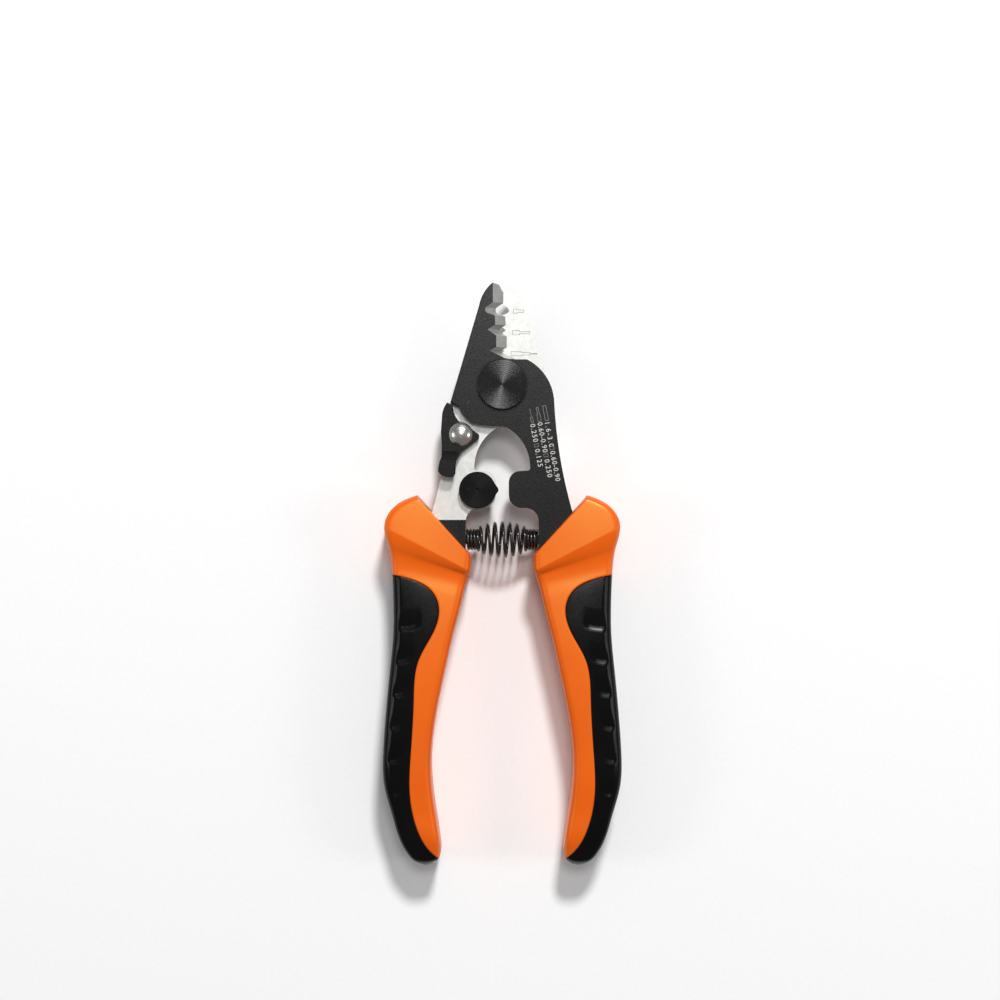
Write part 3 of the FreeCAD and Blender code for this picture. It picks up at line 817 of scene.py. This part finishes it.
def core_mesh():
    """Hard core: its right side is the handle's outer edge above the grip, and a seam lip beside it."""
    start = at_height(OUTER, SEAM.points[0][1])
    edge = joined(OUTER, start, SEAM)

    def on_seam(y):
        return start + at_height(SEAM, y)

    pairs = [
        (0.0, 0.0),
        (at_height(INNER, below(12.2)), at_height(OUTER, below(-4.3))),
        (at_height(INNER, below(14.8)), at_height(OUTER, below(1.0))),
        (at_height(INNER, below(16.4)), at_height(OUTER, below(8.4))),
        (at_height(INNER, below(18.6)), start),
        (at_height(INNER, below(21.6)), on_seam(below(20.2))),
        (at_height(INNER, down(0.04)), on_seam(down(0.021))),
        (at_height(INNER, down(0.12)), on_seam(down(0.115))),
        (at_height(INNER, down(0.22)), on_seam(down(0.22))),
        (at_height(INNER, down(0.6)), on_seam(down(0.59))),
        (at_height(INNER, down(0.85)), on_seam(down(0.85))),
        (at_height(INNER, SEAM.points[-1][1]) - 0.05, edge.length - 0.4),
    ]
    s = matched(pairs)
    left = INNER(s[:, 0])
    right = edge(s[:, 1])
    plan = plan_rows(left, right, None, into(edge, s[:, 1], left))
    beside_grip = s[:, 1] >= start
    x, y = plan[..., 0], plan[..., 1]
    height, outer, inner = face_height(x, y)
    z = height - rounding(inner, CORE_EDGE) - rounding(outer, CORE_EDGE)
    z -= rounding(beyond(ENTRY, x, y), ENTRY_EDGE)
    lip = rounding(np.array(LIP_STEPS), LIP_RADIUS)[::-1]
    z[:, -len(lip):] -= lip * beside_grip[:, None]
    return slab(plan, z)


def grip_mesh():
    """Soft grip: a seam lip on its inner side, and round the tail the inner edge of the handle."""
    start = at_height(OUTER, SEAM.points[0][1])
    inner_end = at_height(INNER, SEAM.points[-1][1])
    tail_s = at_height(OUTER, TAIL + 3.2)

    def on_outer(y):
        return at_height(OUTER, y) - start

    pairs = [
        (0.12, 0.12),
        (1.6, 0.9),
        (at_height(SEAM, below(16.6)), 2.2),
        (at_height(SEAM, below(20.2)), on_outer(below(20.8))),
        (at_height(SEAM, down(0.021)), on_outer(down(0.03))),
        (at_height(SEAM, down(0.115)), on_outer(down(0.115))),
        (at_height(SEAM, down(0.22)), on_outer(down(0.22))),
        (at_height(SEAM, down(0.59)), on_outer(down(0.59))),
        (at_height(SEAM, down(0.85)), on_outer(down(0.85))),
        (SEAM.length, tail_s - start),
    ]
    s = matched(pairs)
    left = SEAM(s[:, 0])
    right = OUTER(s[:, 1] + start)
    lip = into(SEAM, s[:, 0], right)
    left = np.vstack([left, INNER(np.linspace(inner_end, INNER.length, ROUND_TAIL)[1:])])
    right = np.vstack([right, OUTER(np.linspace(tail_s, OUTER.length, ROUND_TAIL)[1:])])
    lip = np.vstack([lip, np.repeat(lip[-1:], ROUND_TAIL - 1, axis=0)])
    plan = plan_rows(left, right, lip, None)
    z = grip_height(plan[..., 0], plan[..., 1])
    drop = rounding(np.array(LIP_STEPS), GRIP_LIP_RADIUS)
    wide = np.linalg.norm(plan[:, -1] - plan[:, 0], axis=-1)
    z[:, :len(drop)] -= drop * np.minimum(1.0, wide / GRIP_LIP_FULL)[:, None]
    return slab(plan, z)


core = core_mesh()
grip = grip_mesh()
for side, body, turned in (("right", FRONT, False), ("left", REAR, True)):
    mesh = mesh_of(f"{side}_handle_shell", *core, turned)
    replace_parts(add_piece(mesh.name, mesh, body, ORANGE), f"{side}_handle")
    mesh = mesh_of(f"{side}_grip_sleeve", *grip, turned)
    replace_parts(add_piece(mesh.name, mesh, body, RUBBER), f"{side}_grip")


# Spring


def spring_mesh():
    """The coil's wire as a tube, close at both ends and open in its belly."""
    pitch = 2 * WIRE_R + COIL_GAP
    length = 2 * (SPRING_SEAT - SEAT_GAP - WIRE_R)
    total = 2 * END_TURNS + BELLY_TURNS
    close = END_TURNS * pitch
    turn = np.linspace(0, total, int(total * 36) + 1)
    middle = close + (turn - END_TURNS) * (length - 2 * close) / BELLY_TURNS
    along = np.where(turn < END_TURNS, turn * pitch, middle)
    along = np.where(turn > total - END_TURNS, length - (total - turn) * pitch, along)
    share = np.clip((turn - END_TURNS + TAPER_TURNS) / (BELLY_TURNS + 2 * TAPER_TURNS), 0, 1)
    radius = SPRING_END_R + (SPRING_BELLY_R - SPRING_END_R) * np.sin(np.pi * share) ** BELLY_FULL
    angle = 2 * np.pi * turn
    line = np.c_[along - length / 2, radius * np.cos(angle) - SPRING_DROP, radius * np.sin(angle)]
    tangent = np.gradient(line, axis=0)
    tangent /= np.linalg.norm(tangent, axis=1)[:, None]
    out = np.c_[np.zeros_like(turn), np.cos(angle), np.sin(angle)]
    out -= tangent * np.sum(out * tangent, axis=1)[:, None]
    out /= np.linalg.norm(out, axis=1)[:, None]
    other = np.cross(tangent, out)
    ring = np.linspace(0, 2 * np.pi, 16, endpoint=False)
    round_wire = out[:, None] * np.cos(ring)[:, None] + other[:, None] * np.sin(ring)[:, None]
    points = line[:, None] + WIRE_R * round_wire
    return points.reshape(-1, 3), loop_faces(len(line), len(ring))


mesh = mesh_of("barrel_spring", *spring_mesh())
coil = add_piece(mesh.name, mesh, None, SPRING, 60.0)
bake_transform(coil)
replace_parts(coil, "return_spring")


# Size marks: plain numbers and outlines, printed on the front jaw and etched on the rear blade

WHITE_INK = print_ink("white_print", (0.62, 0.61, 0.58))
GREY_INK = print_ink("grey_print", (0.2, 0.2, 0.2))
ETCHING = print_ink("grey_etching", (0.24, 0.24, 0.23))
MARK_LEAN = math.radians(-79.3)
MARK_TALL = 2.0
MARK_THICK = 0.02
MARK_SIDE = -0.68  # from a column's middle line to the feet of its figures
MARK_BOLD = 0.01
OUTLINE_LINE = 0.15
THIN_LINE = 0.13
BOX_HALF = (0.4, 0.6)  # along and across a column
PRINT_PROUD = 0.002  # the underside of a print stands this clear of the steel
ETCHING_PROUD = 0.001
SPACING_GAIN = 1.1  # as the space after the last figure isn't part of a number's length

# Three leaning columns on the front jaw. An outline has a top and lengths with half widths; the box and
# the numbers have places along the column from its start, and a number has a length.
MARK_COLUMNS = {
    "small": {
        "outline": ((7.8, -6.9), [(2.4, 0.03), (1.45, 0.3)]),
        "start": (8.55, -11.1),
        "box": 6.2,
        "numbers": [("0.250", 0.0, 5.1), ("0.125", 7.2, 5.0)],
    },
    "middle": {
        "outline": ((9.85, -6.5), [(1.95, 0.27), (2.0, 0.45)]),
        "start": (10.6, -10.65),
        "box": 9.5,
        "numbers": [("0.60-0.90", 0.0, 8.4), ("0.250", 10.6, 5.1)],
    },
    "large": {
        "outline": ((11.85, -6.0), [(4.2, 0.46)]),
        "start": (12.6, -10.4),
        "box": 7.65,
        "numbers": [("1.6-3.0", 0.0, 6.5), ("0.60-0.90", 8.5, 8.4)],
    },
}

# Faint outlines on the bare blade: the left end, and lengths with half widths
ETCHED = {
    "large": ((3.2, 20.9), [(1.0, 0.6), (1.9, 0.35)]),
    "middle": ((2.9, 14.8), [(2.0, 0.6), (3.0, 0.3)]),
    "small": ((2.5, 8.85), [(3.0, 0.6), (2.4, 0.35), (1.9, 0.1)]),
}


def outline_mesh(name, loop, line_wide, level):
    """A thin raised line round a closed loop of points, in millimetres about the pivot."""
    loop = np.asarray(loop, float)
    ahead = np.roll(loop, -1, axis=0) - loop
    ahead /= np.linalg.norm(ahead, axis=1)[:, None]
    behind = np.roll(ahead, 1, axis=0)
    square = np.c_[-ahead[:, 1], ahead[:, 0]] + np.c_[-behind[:, 1], behind[:, 0]]
    square /= (1 + np.sum(ahead * behind, axis=1))[:, None]
    n = len(loop)
    rings = [
        np.c_[loop + side * square * line_wide / 2, np.full(n, level + rise)]
        for side, rise in ((-1, 0.0), (1, 0.0), (1, MARK_THICK), (-1, MARK_THICK))
    ]
    points = np.vstack(rings)
    faces = []
    for k in range(4):
        a, b = k * n, (k + 1) % 4 * n
        for i in range(n):
            j = (i + 1) % n
            faces.append((a + i, a + j, b + j, b + i))
    return mesh_of(name, points, faces)


def placed(points, start, lean):
    """Points given along and across a leaning line, set at its start."""
    points = np.asarray(points, float)
    along = np.array([math.cos(lean), math.sin(lean)])
    square = np.array([-math.sin(lean), math.cos(lean)])
    return np.array(start) + points[:, :1] * along + points[:, 1:] * square


def stepped_loop(parts):
    """A long outline made of lengths with different half widths, drawn about its middle line."""
    upper = []
    x = 0.0
    for length, half in parts:
        upper += [(x, half), (x + length, half)]
        x += length
    return upper + [(px, -py) for px, py in reversed(upper)]


def size_marks():
    """The columns on the front jaw: an outline, and below it two numbers with a box between them."""
    level = LAP + PRINT_PROUD
    for name, column in MARK_COLUMNS.items():
        begin = column["start"]
        top, parts = column["outline"]
        half_long, half_wide = BOX_HALF
        corners = ((-1, 1), (1, 1), (1, -1), (-1, -1))
        box = [(column["box"] + x * half_long, y * half_wide) for x, y in corners]
        for mark, loop, line_wide in (
            ("outline", placed(stepped_loop(parts), top, MARK_LEAN), OUTLINE_LINE),
            ("box", placed(box, begin, MARK_LEAN), THIN_LINE),
        ):
            mesh = outline_mesh(f"{name}_{mark}", loop, line_wide, level)
            add_piece(mesh.name, mesh, FRONT, GREY_INK)
        for letter, (words, at, long) in zip("ab", column["numbers"]):
            feet = placed([(at, MARK_SIDE)], begin, MARK_LEAN)[0]
            size_number(f"{name}_number_{letter}", words, long, feet, level)


def size_number(name, words, long, start, level):
    """Raised figures along a leaning line, spaced out to the length wanted."""
    text = bpy.data.curves.new(name, "FONT")
    text.body = words
    text.size = MARK_TALL * MM
    text.extrude = MARK_THICK * MM / 2
    text.offset = MARK_BOLD * MM
    text.resolution_u = 3
    piece = bpy.data.objects.new(name, text)
    bpy.context.scene.collection.objects.link(piece)
    bpy.context.view_layer.update()
    text.space_character = 1.0 + (long * MM / piece.dimensions.x - 1.0) * SPACING_GAIN
    text.materials.append(WHITE_INK)
    piece.location = to_frame((start[0], start[1], level + MARK_THICK / 2))
    piece.rotation_euler = (0.0, 0.0, MARK_LEAN)
    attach(piece, FRONT)


def etched_marks():
    """Faint stepped outlines beside the notches."""
    level = LAP_PLAY / -2 + ETCHING_PROUD
    for name, (left, parts) in ETCHED.items():
        loop = placed(stepped_loop(parts), left, 0.0)
        mesh = outline_mesh(f"{name}_etching", loop, THIN_LINE, level)
        add_piece(mesh.name, mesh, REAR, ETCHING)


size_marks()
etched_marks()


# Floor, light and camera


FLOOR_HALF = 3.0
FLOOR_DROP = 0.0001
WORLD_LEVEL = 0.22
LAMP_AIM = Vector((0.0, 0.01, 0.0))

# A key and a soft light beyond the tips and a weak light at each side: place, size and power
LAMPS = {
    "key": ((0.24, 1.16, 1.38), 0.28, 25.5),
    "soft": ((0.07, 0.53, 1.85), 0.42, 6.4),
    "left": ((-0.95, -0.04, 0.62), 0.3, 1.2),
    "right": ((0.95, -0.04, 0.62), 0.3, 1.2),
}

# The photo's width in metres at the tool's middle height, and the place there of the photo's middle
PHOTO_WIDE = 0.2833
PHOTO_MIDDLE = (-0.00062, 0.0208)
LENS = 85.0
SENSOR = 36.0


def floor():
    mesh = bpy.data.meshes.new("floor")
    a = FLOOR_HALF
    mesh.from_pydata([(-a, -a, 0), (a, -a, 0), (a, a, 0), (-a, a, 0)], [], [(0, 1, 2, 3)])
    plane = bpy.data.objects.new("floor", mesh)
    bpy.context.scene.collection.objects.link(plane)
    plane.location.z = -FLOOR_DROP
    material, tree, shader = new_material("floor_paper", grey(0.9), 0.9, specular=0.1)
    paper = noise(tree, object_coords(tree), 900.0, 2.0)
    vary(tree, shader, "Base Color", paper, (0.3, 0.92), (0.7, 0.94))
    mesh.materials.append(material)


def lights():
    world = bpy.data.worlds.new("studio")
    world.use_nodes = True
    background = world.node_tree.nodes["Background"]
    background.inputs["Color"].default_value = (1.0, 1.0, 1.0, 1.0)
    background.inputs["Strength"].default_value = WORLD_LEVEL
    bpy.context.scene.world = world
    for name, (place, size, energy) in LAMPS.items():
        light = bpy.data.lights.new(name, "AREA")
        light.shape = "DISK"
        light.size = size
        light.energy = energy
        lamp = bpy.data.objects.new(name, light)
        lamp.location = place
        lamp.rotation_euler = (LAMP_AIM - lamp.location).to_track_quat("-Z", "Y").to_euler()
        bpy.context.scene.collection.objects.link(lamp)


def photo_camera():
    """Straight above the tool, as in the photo."""
    camera_data = bpy.data.cameras.new("camera")
    camera_data.lens = LENS
    camera_data.sensor_width = SENSOR
    camera_data.clip_start = 0.01
    camera = bpy.data.objects.new("camera", camera_data)
    camera.location = (*PHOTO_MIDDLE, PIVOT.z + PHOTO_WIDE * LENS / SENSOR)
    bpy.context.scene.collection.objects.link(camera)
    bpy.context.scene.camera = camera


floor()
lights()
photo_camera()
bpy.context.scene.view_settings.view_transform = "Standard"
